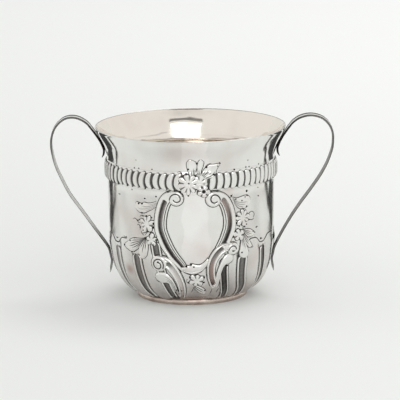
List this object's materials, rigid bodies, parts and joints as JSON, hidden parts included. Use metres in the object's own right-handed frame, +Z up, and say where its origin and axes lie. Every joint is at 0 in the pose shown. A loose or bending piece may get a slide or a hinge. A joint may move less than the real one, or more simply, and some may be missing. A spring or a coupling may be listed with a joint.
{
  "type": "silver porringer",
  "caption": "Small round silver cup with a flared rim, chased rope band, fluted belly, scrolled cartouche, ring foot and strap handles.",
  "frame": {"origin": "on the cup's axis, on the surface that the foot stands on", "axes": "+Z up along the cup's axis, -Y towards the cartouche at the front, +X towards the right handle"},
  "size_m": [0.1488, 0.0998, 0.0956],
  "materials": {
    "chased_silver": "old polished silver, grey and pink in places, dark tarnish left in the chasing",
    "foot_silver": "worn silver with a warm pink cast",
    "strap_silver": "polished silver with fine scratches"
  },
  "bodies": {
    "root": {"cup_body": "chased_silver", "foot_ring": "foot_silver", "left_handle": "strap_silver", "right_handle": "strap_silver"}
  },
  "joints": []
}
